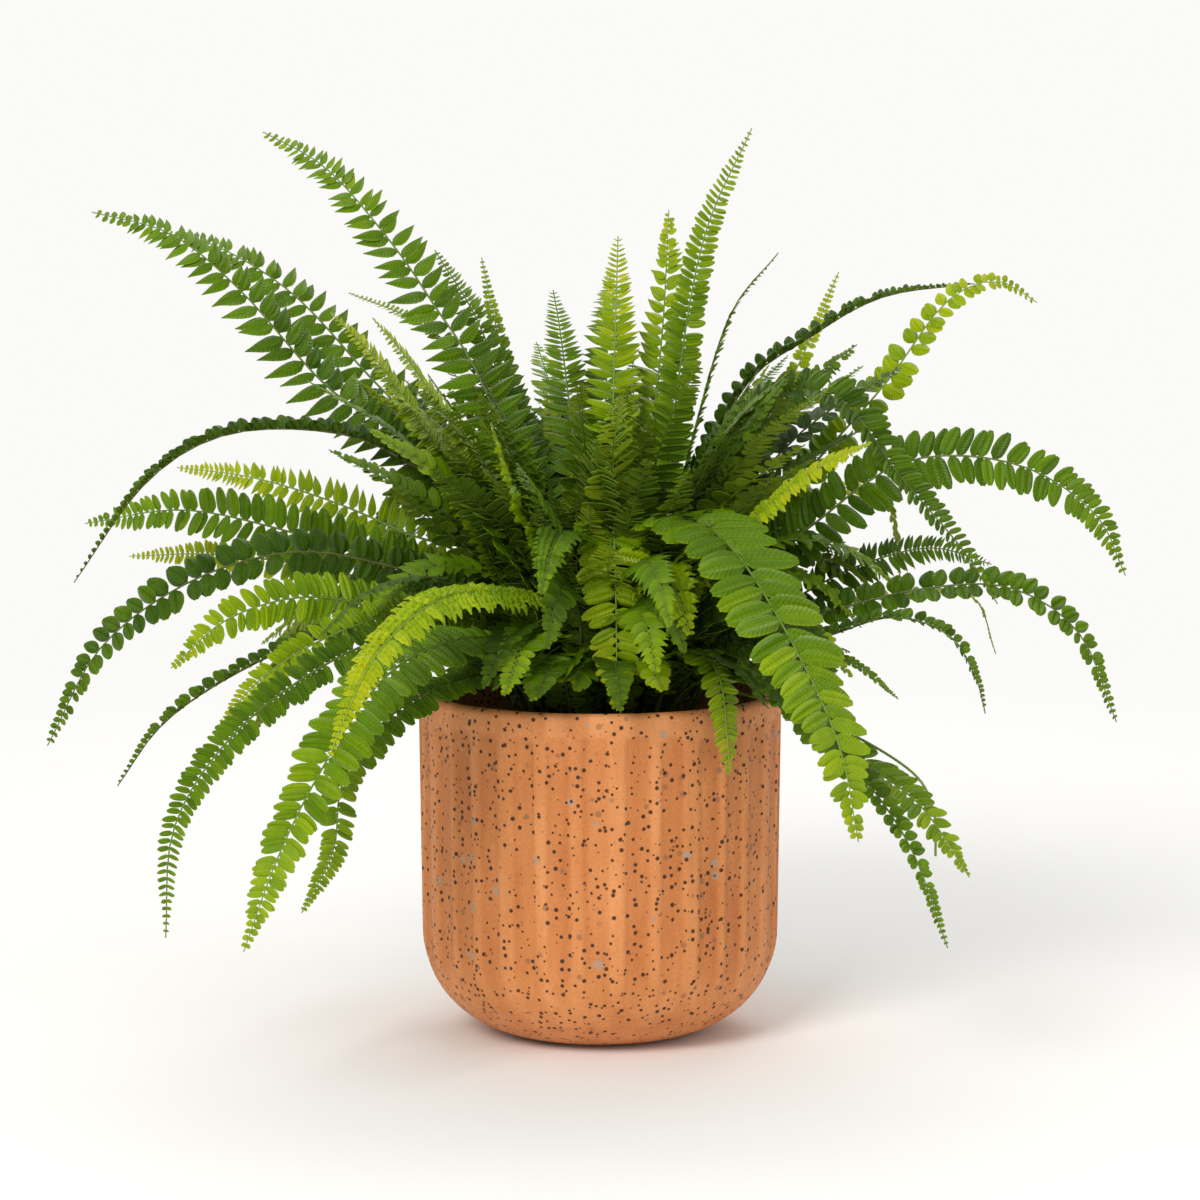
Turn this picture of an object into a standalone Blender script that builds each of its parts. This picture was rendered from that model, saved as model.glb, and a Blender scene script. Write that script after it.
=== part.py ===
"""A potted sword fern: a fluted stoneware pot, its soil, the plant's crown, one runner and its fronds.

Run it with: blender --background --python part.py
The frame stands on the floor: the origin is the middle of the pot's base, +Z is up and -Y is the front.
"""

import math

import bmesh
import bpy
from mathutils import Matrix, Vector

MM = 0.001
CLEARANCE = 0.3 * MM  # between pieces that touch

# Pot: a turned stoneware body with shallow upright flutes under a plain rolled rim.
POT_HEIGHT = 172 * MM
POT_RIM_RADIUS = 90.5 * MM
POT_BODY_RADIUS = 89 * MM  # where the wall meets the rounded bottom
POT_BOTTOM_REACH = 54 * MM  # how far the rounded bottom runs in towards the axis
POT_BOTTOM_RISE = 52 * MM  # and how high it runs up the wall
POT_WALL = 7 * MM
POT_FLOOR = 9 * MM
FLUTE_COUNT = 30
FLUTE_DEPTH = 1.3 * MM
FLUTE_TOP = POT_HEIGHT - 11 * MM
FLUTE_BOTTOM = 16 * MM
FLUTE_FADE = 16 * MM
STEPS_PER_FLUTE = 3

# Soil and crown inside the pot.
SOIL_TOP = 148 * MM
SOIL_STEPS = 40
CROWN_RADIUS = 54 * MM
CROWN_HEIGHT = 16 * MM
CROWN_FOOT = 4 * MM  # height of the crown's upright edge
CROWN_STEPS = 32

# Fronds: a bare stalk that widens into a thin, lance-shaped blade of leaflets.
INNER, MIDDLE, OUTER = 14, 29, 44  # rings of stalk feet on the crown, radius in mm
STALK_HALF_WIDTH = 1.2 * MM
BLADE_THICKNESS = 1.6 * MM
BLADE_SHARE = 0.62  # how much of a frond's width its overlapping leaflets fill solidly
BLADE_FOLD = 0.12  # how far the midrib lies below the two edges, as a share of the half width
BARE_STALK = 0.2  # share of a frond's length that carries no leaflets
WIDEST_AT = 0.5
STATIONS = 11

# name: (azimuth in degrees, ring of its foot, (reach, height) of the points it arches through
#        in mm, blade width in mm, roll towards the front in degrees, sideways bend in degrees)
FRONDS = {
    "frond_left_tall": (150, INNER, [(60, 305), (100, 365), (130, 400), (163, 430), (200, 447)], 38, 45, 0),
    "frond_left_high": (172, INNER, [(85, 280), (138, 322), (180, 368), (216, 397), (257, 408)], 31, 55, 0),
    "frond_left_high_back": (158, MIDDLE, [(86, 280), (131, 330), (170, 367), (213, 390), (245, 396)], 30, 50, 0),
    "frond_left_young_1": (205, MIDDLE, [(70, 268), (98, 310), (122, 343), (143, 363)], 21, 55, 0),
    "frond_left_young_2": (214, INNER, [(58, 269), (87, 308), (112, 341), (131, 361)], 21, 55, 0),
    "frond_left_wiry": (140, MIDDLE, [(48, 280), (88, 330), (123, 351), (170, 364)], 12, 30, 0),
    "frond_left_arch": (187, MIDDLE, [(60, 256), (100, 289), (135, 302), (185, 301), (224, 278), (260, 229)], 14, 5, 0),
    "frond_left_pale": (163, MIDDLE, [(62, 229), (105, 248), (142, 262), (185, 273), (226, 277)], 23, 75, 0),
    "frond_left_broad": (178, OUTER, [(65, 214), (115, 237), (165, 253), (210, 261), (257, 254)], 28, 75, 0),
    "frond_left_pale_low": (168, OUTER, [(67, 205), (113, 222), (155, 231), (203, 235), (245, 233)], 17, 75, 0),
    "frond_left_long": (192, OUTER, [(65, 218), (110, 237), (155, 244), (204, 231), (248, 200), (275, 152)], 20, 65, 0),
    "frond_left_mid": (199, OUTER, [(63, 203), (104, 214), (150, 224), (190, 215), (219, 192)], 26, 70, 0),
    "frond_left_thin": (206, OUTER, [(66, 191), (114, 206), (155, 205), (197, 190), (232, 169), (255, 141)], 12, 8, 0),
    "frond_left_pale_front": (213, MIDDLE, [(65, 208), (116, 217), (161, 207), (194, 190), (216, 169)], 17, 55, 0),
    "frond_left_drooping": (220, OUTER, [(70, 196), (131, 208), (184, 193), (229, 166), (258, 129), (263, 79)], 17, 45, 0),
    "frond_front_left_large": (234, MIDDLE, [(80, 203), (134, 207), (178, 193), (220, 157), (250, 122), (274, 83)], 33, 22, 0),
    "frond_front_left_bright": (241, MIDDLE, [(45, 215), (96, 230), (159, 232), (210, 214), (238, 188), (252, 171)], 25, 20, 0),
    "frond_front_left_small": (228, OUTER, [(66, 184), (114, 185), (155, 171), (181, 146), (187, 115), (208, 88)], 23, 20, 0),
    "frond_front_left_rim": (252, OUTER, [(56, 184), (74, 198), (92, 194), (104, 180)], 26, 0, 0),
    "frond_centre_feather": (104, INNER, [(32, 240), (60, 300), (84, 345), (100, 366)], 26, 0, 0),
    "frond_centre_left_small": (118, MIDDLE, [(43, 252), (90, 308), (115, 348), (131, 382)], 13, 20, 0),
    "frond_centre_left": (128, INNER, [(33, 243), (67, 296), (101, 350), (139, 386)], 20, 35, 0),
    "frond_centre_pale": (82, INNER, [(30, 240), (45, 300), (56, 350), (66, 395)], 26, 0, 0),
    "frond_centre_tall": (64, INNER, [(40, 230), (60, 295), (73, 350), (80, 408)], 31, 0, 0),
    "frond_centre_tallest": (50, MIDDLE, [(50, 240), (60, 315), (82, 394), (121, 449)], 15, 55, 0),
    "frond_right_spiky": (30, INNER, [(38, 240), (56, 303), (76, 357), (104, 387)], 15, -30, 0),
    "frond_front_centre": (276, MIDDLE, [(45, 235), (70, 258), (88, 243), (98, 210), (100, 176)], 32, 0, 0),
    "frond_front_upright": (238, INNER, [(28, 205), (50, 235), (78, 275), (98, 312)], 32, 50, 0),
    "frond_front_curled": (262, INNER, [(30, 225), (42, 262), (52, 300)], 26, 0, 0),
    "frond_front_dark": (292, INNER, [(26, 215), (38, 255), (54, 288)], 24, 0, 0),
    "frond_right_arch": (18, MIDDLE, [(50, 262), (75, 320), (110, 345), (150, 365), (200, 371)], 14, 5, 0),
    "frond_right_bright": (8, MIDDLE, [(60, 226), (96, 270), (143, 322), (174, 363), (200, 374), (221, 363)], 20, 55, 0),
    "frond_right_wiry": (40, MIDDLE, [(60, 240), (108, 292), (140, 339), (161, 375)], 12, 40, 0),
    "frond_right_long": (350, OUTER, [(60, 218), (105, 255), (152, 288), (205, 288), (244, 265), (260, 234)], 32, 65, 0),
    "frond_right_dark": (338, MIDDLE, [(40, 248), (78, 312), (122, 322), (157, 283), (187, 251), (206, 224)], 26, 30, 0),
    "frond_right_crimped": (318, MIDDLE, [(60, 225), (98, 262), (138, 290), (172, 305)], 18, 50, 0),
    "frond_right_hanging": (26, OUTER, [(80, 232), (130, 265), (160, 262), (170, 240), (172, 213)], 23, 15, 0),
    "frond_right_narrow": (356, OUTER, [(65, 198), (100, 220), (129, 235), (164, 244), (194, 236)], 18, 55, 0),
    "frond_right_low": (345, OUTER, [(65, 196), (112, 213), (162, 227), (206, 229), (240, 208), (259, 165)], 18, 45, 0),
    "frond_right_hanging_low": (14, OUTER, [(66, 196), (110, 206), (165, 216), (196, 212), (208, 183)], 17, 10, 0),
    "frond_right_thin": (335, OUTER, [(65, 192), (118, 204), (155, 216), (185, 209), (199, 189), (204, 172)], 12, 12, 0),
    "frond_right_tiny": (327, OUTER, [(70, 190), (110, 200), (145, 195), (170, 180)], 11, 15, 0),
    "frond_front_right_large": (300, MIDDLE, [(42, 240), (75, 264), (123, 255), (176, 217), (218, 173), (235, 130)], 52, 0, 0),
    "frond_front_right_low": (320, OUTER, [(66, 184), (110, 188), (151, 158), (196, 135), (226, 103)], 27, 12, 0),
    "frond_front_right_dark": (312, OUTER, [(70, 182), (120, 186), (172, 158), (214, 122), (240, 76)], 15, 15, 0),
    "frond_front_right_rim": (306, OUTER, [(60, 190), (80, 200), (98, 188), (104, 160), (106, 142)], 18, 0, 0),
    "frond_back_tall": (88, MIDDLE, [(45, 240), (80, 300), (118, 345), (160, 372)], 30, 0, 0),
    "frond_back_left_arch": (122, OUTER, [(70, 225), (120, 262), (170, 266), (215, 235), (240, 185)], 30, 0, 0),
    "frond_back_left_low": (142, OUTER, [(66, 196), (115, 215), (165, 208), (210, 175), (235, 125)], 28, 0, 0),
    "frond_back_left_rim": (112, OUTER, [(64, 186), (100, 192), (138, 170), (168, 130), (182, 85)], 26, 0, 0),
    "frond_back_middle_arch": (98, OUTER, [(66, 212), (112, 240), (160, 240), (205, 208), (230, 160)], 32, 0, 0),
    "frond_back_middle_low": (84, OUTER, [(64, 188), (105, 198), (150, 180), (188, 140), (205, 92)], 28, 0, 0),
    "frond_back_right_arch": (70, OUTER, [(70, 222), (118, 256), (166, 258), (208, 226), (234, 176)], 30, 0, 0),
    "frond_back_right_low": (54, OUTER, [(66, 196), (114, 210), (162, 196), (204, 158), (226, 110)], 28, 0, 0),
}

RUNNER_AZIMUTH = 324  # the wiry stolon that trails over the front right of the rim
RUNNER_RING = 36
RUNNER_ARCH = [(48, 168), (75, 177), (112, 172), (150, 162), (185, 146), (196, 128), (197, 108)]
RUNNER_RADIUS = 0.9 * MM


def clear_scene():
    for obj in list(bpy.data.objects):
        bpy.data.objects.remove(obj, do_unlink=True)


def material(name, colour, roughness):
    made = bpy.data.materials.new(name)
    made.use_nodes = True
    shader = made.node_tree.nodes["Principled BSDF"]
    shader.inputs["Base Color"].default_value = (*colour, 1)
    shader.inputs["Roughness"].default_value = roughness
    return made


def place(name, mesh, finish, collection):
    obj = bpy.data.objects.new(name, mesh)
    mesh.materials.append(finish)
    collection.objects.link(obj)
    return obj


def applied(obj):
    """The object with its modifiers applied to its mesh."""
    graph = bpy.context.evaluated_depsgraph_get()
    mesh = bpy.data.meshes.new_from_object(obj.evaluated_get(graph))
    obj.modifiers.clear()
    old, obj.data = obj.data, mesh
    bpy.data.meshes.remove(old)
    return obj


def turned(name, profile, steps, finish, collection):
    """A profile of (radius, height) turned about the Z axis. It runs down its outer side."""
    mesh = bpy.data.meshes.new(name)
    points = [(radius, 0, height) for radius, height in profile]
    edges = [(i, i + 1) for i in range(len(points) - 1)]
    mesh.from_pydata(points, edges, [])
    obj = place(name, mesh, finish, collection)
    screw = obj.modifiers.new("turn", "SCREW")
    screw.steps = screw.render_steps = steps
    screw.use_merge_vertices = True
    screw.merge_threshold = 0.0001
    return applied(obj)


def arc(centre, radii, start, end, count):
    """Points (radius, height) on an ellipse's arc between two angles in degrees, both ends included."""
    points = []
    for i in range(count + 1):
        angle = math.radians(start + (end - start) * i / count)
        points.append((centre[0] + radii[0] * math.cos(angle), centre[1] + radii[1] * math.sin(angle)))
    return points


def smooth_step(x):
    x = min(max(x, 0), 1)
    return x * x * (3 - 2 * x)


def wall_radius(height):
    """Outer radius of the pot's straight wall."""
    share = (height - POT_BOTTOM_RISE) / (POT_HEIGHT - POT_BOTTOM_RISE)
    return POT_BODY_RADIUS + (POT_RIM_RADIUS - POT_BODY_RADIUS) * share


def inner_profile(inset):
    """The pot's inside from its floor's middle up the wall, set in by inset."""
    reach = POT_BOTTOM_REACH - POT_WALL
    rise = POT_BOTTOM_RISE - POT_FLOOR
    centre = (POT_BODY_RADIUS - POT_BOTTOM_REACH, POT_BOTTOM_RISE)
    curve = arc(centre, (reach - inset, rise - inset), -90, 0, 5)
    return [(0, POT_FLOOR + inset)] + curve


def make_pot(finish, collection):
    lip = POT_WALL / 2
    lip_centre = (POT_RIM_RADIUS - lip, POT_HEIGHT - lip)
    inside = inner_profile(0) + [(POT_RIM_RADIUS - POT_WALL, lip_centre[1])]
    rim = arc(lip_centre, (lip, lip), 180, 0, 6)[1:]
    wall_heights = [FLUTE_TOP + 3 * MM, FLUTE_TOP - 2 * MM, FLUTE_TOP - 7 * MM, 110 * MM, 70 * MM]
    wall = [(wall_radius(height), height) for height in wall_heights]
    bottom_centre = (POT_BODY_RADIUS - POT_BOTTOM_REACH, POT_BOTTOM_RISE)
    bottom = arc(bottom_centre, (POT_BOTTOM_REACH, POT_BOTTOM_RISE), 0, -90, 7)
    pot = turned("pot", inside + rim + wall + bottom + [(0, 0)], FLUTE_COUNT * STEPS_PER_FLUTE, finish, collection)
    for vertex in pot.data.vertices:
        press_flute(vertex)
    pot.data.shade_smooth()
    return pot


def press_flute(vertex):
    """Moves a point of the pot's outer wall in where a flute runs."""
    radius = math.hypot(vertex.co.x, vertex.co.y)
    height = vertex.co.z
    inner = POT_RIM_RADIUS - POT_WALL - 0.5 * MM
    on_wall = radius > inner or (height < POT_BOTTOM_RISE and outside_bottom(radius, height))
    if not on_wall or not FLUTE_BOTTOM < height < FLUTE_TOP:
        return
    top = smooth_step((FLUTE_TOP - height) / (6 * MM))
    bottom = smooth_step((height - FLUTE_BOTTOM) / FLUTE_FADE)
    turn = math.atan2(vertex.co.y, vertex.co.x) / (2 * math.pi) * FLUTE_COUNT
    groove = abs(math.sin(math.pi * turn))
    depth = FLUTE_DEPTH * groove * top * bottom
    vertex.co.x *= 1 - depth / radius
    vertex.co.y *= 1 - depth / radius


def outside_bottom(radius, height):
    """Whether a point of the rounded bottom is on its outer face and not on the inner one."""
    along = (radius - (POT_BODY_RADIUS - POT_BOTTOM_REACH)) / POT_BOTTOM_REACH
    down = (POT_BOTTOM_RISE - height) / POT_BOTTOM_RISE
    return math.hypot(max(along, 0), down) > 0.97


def make_soil(finish, collection):
    inside = inner_profile(CLEARANCE)
    wall = POT_RIM_RADIUS - POT_WALL - CLEARANCE
    share = (SOIL_TOP - POT_BOTTOM_RISE) / (POT_HEIGHT - POT_BOTTOM_RISE)
    foot = inside[-1][0]
    top_radius = foot + (wall - foot) * share
    profile = [(0, SOIL_TOP), (CROWN_RADIUS, SOIL_TOP), (top_radius, SOIL_TOP - 3 * MM)] + inside[::-1]
    soil = turned("potting_soil", profile, SOIL_STEPS, finish, collection)
    soil.data.shade_smooth()
    return soil


def crown_surface(radius):
    """Height of the crown's domed top at a radius."""
    foot = SOIL_TOP + CLEARANCE + CROWN_FOOT
    return foot + (CROWN_HEIGHT - CROWN_FOOT) * math.sqrt(max(1 - (radius / CROWN_RADIUS) ** 2, 0))


def make_crown(finish, collection):
    dome = arc((0, SOIL_TOP + CLEARANCE + CROWN_FOOT), (CROWN_RADIUS, CROWN_HEIGHT - CROWN_FOOT), 90, 0, 8)
    foot = SOIL_TOP + CLEARANCE
    profile = [(0, dome[0][1])] + dome[1:] + [(CROWN_RADIUS - 3 * MM, foot), (0, foot)]
    crown = turned("crown", profile, CROWN_STEPS, finish, collection)
    crown.data.shade_smooth()
    return crown


def through(points, count):
    """count + 1 evenly spaced points on a smooth curve through the given ones."""
    points = [Vector(p) for p in points]
    padded = [2 * points[0] - points[1]] + points + [2 * points[-1] - points[-2]]
    fine = []
    for a, b, c, d in zip(padded, padded[1:], padded[2:], padded[3:]):
        for i in range(24):
            t = i / 24
            fine.append(0.5 * (2 * b + (c - a) * t + (2 * a - 5 * b + 4 * c - d) * t * t
                               + (3 * b - a - 3 * c + d) * t ** 3))
    fine.append(points[-1])
    lengths = [0.0]
    for a, b in zip(fine, fine[1:]):
        lengths.append(lengths[-1] + (b - a).length)
    even, at = [], 0
    for i in range(count + 1):
        target = lengths[-1] * i / count
        while at < len(fine) - 2 and lengths[at + 1] < target:
            at += 1
        share = (target - lengths[at]) / max(lengths[at + 1] - lengths[at], 1e-9)
        even.append(fine[at].lerp(fine[at + 1], share))
    return even


def arch_line(azimuth, ring, arch, bend, count):
    """A frond's midline, in metres: from its foot on the crown out through the (reach, height) points."""
    rise = Vector((arch[0][0] - ring, arch[0][1] - 1000 * crown_surface(ring * MM)))
    lean = rise.x / rise.length  # the stalk's cut end tips over by this much
    foot = crown_surface(ring * MM) + CLEARANCE + STALK_HALF_WIDTH * abs(lean)
    profile = [(ring * MM, foot)] + [(reach * MM, height * MM) for reach, height in arch]
    line = []
    for i, (reach, height) in enumerate(profile):
        angle = math.radians(azimuth + bend * (i / (len(profile) - 1)) ** 2)
        line.append((reach * math.cos(angle), reach * math.sin(angle), height))
    return through(line, count)


def blade_half_width(share, width):
    """Half the solid blade's width at a share of the frond's length."""
    if share < BARE_STALK:
        return STALK_HALF_WIDTH
    along = (share - BARE_STALK) / (1 - BARE_STALK)
    peak = (WIDEST_AT - BARE_STALK) / (1 - BARE_STALK)
    if along < peak:
        fullness = smooth_step(along / peak)
    else:
        fullness = 1 - ((along - peak) / (1 - peak)) ** 2.2
    return STALK_HALF_WIDTH + (width * BLADE_SHARE / 2 - STALK_HALF_WIDTH) * fullness


def frond_axes(line, i, azimuth, roll):
    """Unit vectors across the blade and out of its upper face at the i-th point of the midline."""
    ahead, behind = min(i + 1, len(line) - 1), max(i - 1, 0)
    tangent = (line[ahead] - line[behind]).normalized()
    across = Vector((-math.sin(math.radians(azimuth)), math.cos(math.radians(azimuth)), 0))
    across = (across - across.dot(tangent) * tangent).normalized()
    face = across.cross(tangent)
    if face.z < 0 and abs(tangent.z) < 0.99:
        face = -face
    outward = Vector((math.cos(math.radians(azimuth)), math.sin(math.radians(azimuth)), 0))
    if tangent.z < -0.99:
        face = outward
    towards_front = -1 if across.y > 0 else 1
    turn = math.radians(roll) * towards_front
    return (across * math.cos(turn) - face * math.sin(turn),
            face * math.cos(turn) + across * math.sin(turn))


def make_frond(name, azimuth, ring, arch, width, roll, bend, finish, collection):
    line = arch_line(azimuth, ring, arch, bend, STATIONS)
    grid = bmesh.new()
    bmesh.ops.create_grid(grid, x_segments=2, y_segments=STATIONS, size=1)
    for vertex in grid.verts:
        side = round(vertex.co.x)
        i = round((vertex.co.y + 1) / 2 * STATIONS)
        half = blade_half_width(i / STATIONS, width * MM)
        across, face = frond_axes(line, i, azimuth, roll)
        lift = BLADE_FOLD * half * abs(side)
        vertex.co = line[i] + across * half * side + face * lift
    mesh = bpy.data.meshes.new(name)
    grid.to_mesh(mesh)
    grid.free()
    frond = place(name, mesh, finish, collection)
    thicken = frond.modifiers.new("thickness", "SOLIDIFY")
    thicken.thickness = BLADE_THICKNESS
    thicken.offset = 0
    applied(frond)
    frond.data.shade_smooth()
    return frond


def make_runner(finish, collection):
    points = arch_line(RUNNER_AZIMUTH, RUNNER_RING, RUNNER_ARCH, 0, 30)
    curve = bpy.data.curves.new("runner", "CURVE")
    curve.dimensions = "3D"
    curve.bevel_depth = RUNNER_RADIUS
    curve.bevel_resolution = 1
    curve.use_fill_caps = True
    spline = curve.splines.new("POLY")
    spline.points.add(len(points) - 1)
    for slot, point in zip(spline.points, points):
        slot.co = (*point, 1)
    obj = bpy.data.objects.new("runner", curve)
    curve.materials.append(finish)
    collection.objects.link(obj)
    return obj


def main():
    clear_scene()
    collection = bpy.data.collections.new("potted_fern")
    bpy.context.scene.collection.children.link(collection)
    stoneware = material("stoneware", (0.62, 0.28, 0.11), 0.6)
    earth = material("earth", (0.05, 0.03, 0.02), 0.95)
    rhizome = material("rhizome", (0.13, 0.08, 0.03), 0.9)
    leaf = material("leaf", (0.08, 0.22, 0.02), 0.4)
    wiry = material("wiry_stem", (0.16, 0.15, 0.05), 0.6)
    make_pot(stoneware, collection)
    make_soil(earth, collection)
    make_crown(rhizome, collection)
    make_runner(wiry, collection)
    for name, (azimuth, ring, arch, width, roll, bend) in FRONDS.items():
        make_frond(name, azimuth, ring, arch, width, roll, bend, leaf, collection)


main()
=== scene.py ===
import math
import random

import bmesh
import bpy
from mathutils import Matrix, Vector


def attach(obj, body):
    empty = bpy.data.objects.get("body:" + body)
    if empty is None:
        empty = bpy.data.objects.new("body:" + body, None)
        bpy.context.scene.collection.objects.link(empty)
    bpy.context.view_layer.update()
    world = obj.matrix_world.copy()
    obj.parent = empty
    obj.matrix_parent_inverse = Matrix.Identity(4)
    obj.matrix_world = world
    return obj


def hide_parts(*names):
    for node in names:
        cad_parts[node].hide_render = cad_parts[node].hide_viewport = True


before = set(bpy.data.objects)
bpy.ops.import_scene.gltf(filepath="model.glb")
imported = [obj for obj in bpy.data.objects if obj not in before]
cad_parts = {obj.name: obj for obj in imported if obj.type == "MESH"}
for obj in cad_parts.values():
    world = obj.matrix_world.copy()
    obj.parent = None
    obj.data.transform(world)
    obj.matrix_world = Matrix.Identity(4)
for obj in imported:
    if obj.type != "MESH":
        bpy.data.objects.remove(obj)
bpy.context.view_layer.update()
bpy.context.scene.view_settings.view_transform = "Standard"
mm = 0.001
dice = random.Random(7)
print("frame loaded")


def dropPicks():
    for obj in bpy.context.selected_objects:
        obj.select_set(False)


def pickOnly(*objs):
    dropPicks()
    for obj in objs:
        obj.select_set(True)
    bpy.context.view_layer.objects.active = objs[0]


def editPick(test):
    # selects the points of the mesh being edited that pass the test
    mesh = bpy.context.edit_object.data
    grid = bmesh.from_edit_mesh(mesh)
    grid.select_mode = {"VERT"}
    for point in grid.verts:
        point.select = bool(test(point.co))
    grid.select_flush_mode()
    bmesh.update_edit_mesh(mesh)


def smoothStep(x):
    x = min(max(x, 0), 1)
    return x * x * (3 - 2 * x)


def applyModifier(obj, kind, **settings):
    pickOnly(obj)
    made = obj.modifiers.new(kind.lower(), kind)
    for key, value in settings.items():
        setattr(made, key, value)
    bpy.ops.object.modifier_apply(modifier=made.name)


def joined(name, objs):
    pickOnly(*objs)
    bpy.ops.object.join()
    objs[0].name = objs[0].data.name = name
    return objs[0]


def smoothFaces(obj):
    for face in obj.data.polygons:
        face.use_smooth = True


def extrudeUp(height, grow, level):
    # a new ring above the last one, made wider or narrower about the axis
    bpy.ops.mesh.extrude_region_move(TRANSFORM_OT_translate={"value": (0, 0, height * mm)})
    bpy.ops.transform.resize(value=(grow, grow, 1), center_override=(0, 0, level * mm))


def fillEnds(low):
    # closes the open ring that is picked, then the one that passes the test
    bpy.ops.mesh.edge_face_add()
    editPick(low)
    bpy.ops.mesh.edge_face_add()
    bpy.ops.mesh.select_all(action="SELECT")


def hand(piece, slot, *nodes):
    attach(piece, "root")
    if nodes:
        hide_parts(*nodes)


class Wire:
    def __init__(self, kit, socket):
        self.kit = kit
        self.socket = socket

    def maths(self, operation, first, second):
        return self.kit.add("Math", {"operation": operation}, {0: first, 1: second})

    def __add__(self, other):
        return self.maths("ADD", self, other)

    def __sub__(self, other):
        return self.maths("SUBTRACT", self, other)

    def __rsub__(self, other):
        return self.maths("SUBTRACT", other, self)

    def __mul__(self, other):
        return self.maths("MULTIPLY", self, other)

    def __truediv__(self, other):
        return self.maths("DIVIDE", self, other)

    def __pow__(self, other):
        return self.maths("POWER", self, other)

    __radd__ = __add__
    __rmul__ = __mul__


class Finish:
    def __init__(self, name, **fixed):
        self.material = bpy.data.materials.new(name)
        self.material.use_nodes = True
        self.tree = self.material.node_tree
        self.shader = self.tree.nodes["Principled BSDF"]
        for key, value in fixed.items():
            self.shader.inputs[key.replace("_", " ")].default_value = value

    def add(self, kind, settings=None, values=None, out=0):
        node = self.tree.nodes.new("ShaderNode" + kind)
        for key, value in (settings or {}).items():
            if key == "stops":
                ramp = node.color_ramp
                while len(ramp.elements) < len(value):
                    ramp.elements.new(0.5)
                for element, (place, colour) in zip(ramp.elements, value):
                    element.position = place
                    element.color = (*colour, 1)
            else:
                setattr(node, key, value)
        for key, value in (values or {}).items():
            if isinstance(value, Wire):
                self.tree.links.new(value.socket, node.inputs[key])
            else:
                node.inputs[key].default_value = value
        return Wire(self, node.outputs[out])

    def band(self, value, low, high, start=0.0, end=1.0):
        # smooth change from start to end while the value goes from low to high
        ends = {"From Min": low, "From Max": high, "To Min": start, "To Max": end}
        return self.add("MapRange", {"interpolation_type": "SMOOTHSTEP"}, {"Value": value, **ends})

    def blend(self, factor, first, second):
        first = first if isinstance(first, Wire) else (*first, 1)
        second = second if isinstance(second, Wire) else (*second, 1)
        return self.add("Mix", {"data_type": "RGBA"}, {0: factor, 6: first, 7: second}, 2)

    def noise(self, place, scale, detail, **more):
        values = {"Vector": place, "Scale": scale, "Detail": detail, **more}
        return self.add("TexNoise", {}, values)

    def attribute(self, name):
        return self.add("Attribute", {"attribute_name": name}, out=2)

    def feed(self, name, wire):
        self.tree.links.new(wire.socket, self.shader.inputs[name])

    def bump(self, height, strength, distance):
        values = {"Height": height, "Strength": strength, "Distance": distance}
        self.feed("Normal", self.add("Bump", {}, values))


leafLook = {
    # from old and dark to young and pale
    "upper": [
        (0.0, (0.012, 0.030, 0.001)), (0.3, (0.036, 0.088, 0.001)), (0.6, (0.115, 0.225, 0.001)),
        (0.85, (0.290, 0.410, 0.001)), (1.0, (0.470, 0.520, 0.004)),
    ],
    "under": [
        (0.0, (0.028, 0.060, 0.003)), (0.4, (0.085, 0.160, 0.003)), (1.0, (0.380, 0.460, 0.010)),
    ],
    "stalk": [
        (0.0, (0.070, 0.050, 0.016)), (0.15, (0.080, 0.100, 0.014)),
        (0.5, (0.120, 0.220, 0.018)), (1.0, (0.330, 0.450, 0.040)),
    ],
    # painted highlight colour for the leaflet rims, also used for the lighter midrib
    "edge": (0.290, 0.430, 0.006),
    # painted shade colour for the sunken vein lines of the quilted blade
    "veinShade": (0.02, 0.05, 0.004),
    "scurf": (0.10, 0.05, 0.02),
    "upperGloss": 0.30,
    "underGloss": 0.52,
    "stalkGloss": 0.45,
    "glow": 0.06,
    "veins": 62,  # about ten pairs on a leaflet
    "veinSlant": 0.16,
    "toneShare": 0.16,
    "mottleShare": 0.16,
    "tipShare": 0.07,
    "mottleScale": 260.0,
    "scurfScale": 900.0,
}


def leafFinish(name, stops, gloss):
    made = Finish(
        name, IOR=1.42, Specular_IOR_Level=0.3, Subsurface_Weight=leafLook["glow"],
        Subsurface_Scale=0.002, Subsurface_Radius=(0.6, 1.0, 0.1))
    age = made.attribute("age")
    tone = made.attribute("tone")
    uv = made.add("UVMap", {"uv_map": "UVMap"})
    along = made.add("SeparateXYZ", {}, {0: uv}, 0)
    over = made.add("SeparateXYZ", {}, {0: uv}, 1)
    fromRib = made.add("Math", {"operation": "ABSOLUTE"}, {0: over - 0.5}) * 2
    # side veins leave the midrib at a slant, and the blade swells between them
    slanted = (along - fromRib * leafLook["veinSlant"]) * leafLook["veins"]
    veinShade = made.add("Math", {"operation": "SINE"}, {0: slanted})
    swell = (veinShade * 0.5 + 0.5) ** 0.6
    rib = made.band(fromRib, 0.0, 0.16, 1.0, 0.0)
    mottle = made.noise(made.add("TexCoord", out=3), leafLook["mottleScale"], 3.0)
    shade = age + tone * leafLook["toneShare"] + (mottle - 0.5) * leafLook["mottleShare"]
    shade = shade + along * leafLook["tipShare"]
    colour = made.add("ValToRGB", {"stops": stops}, {0: shade})
    # a painted highlight along each leaflet's rim, stronger on young leaflets, plus a lighter
    # midrib
    edge = made.band(fromRib, 0.74, 1.0) * 0.42 + rib * 0.34
    colour = made.blend(edge * made.band(age, 0.1, 0.7, 0.25, 1.0), colour, leafLook["edge"])
    # painted shade in the sunken vein lines between the swells
    colour = made.blend(made.band(swell, 0.0, 0.5, 0.22, 0.0), colour, leafLook["veinShade"])
    made.feed("Base Color", colour)
    made.feed("Roughness", made.band(mottle, 0.3, 0.7, gloss, gloss + 0.12))
    made.bump(swell * 0.7 - rib * 0.8 + mottle * 0.25, 0.55, 0.0005)
    return made.material


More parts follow.
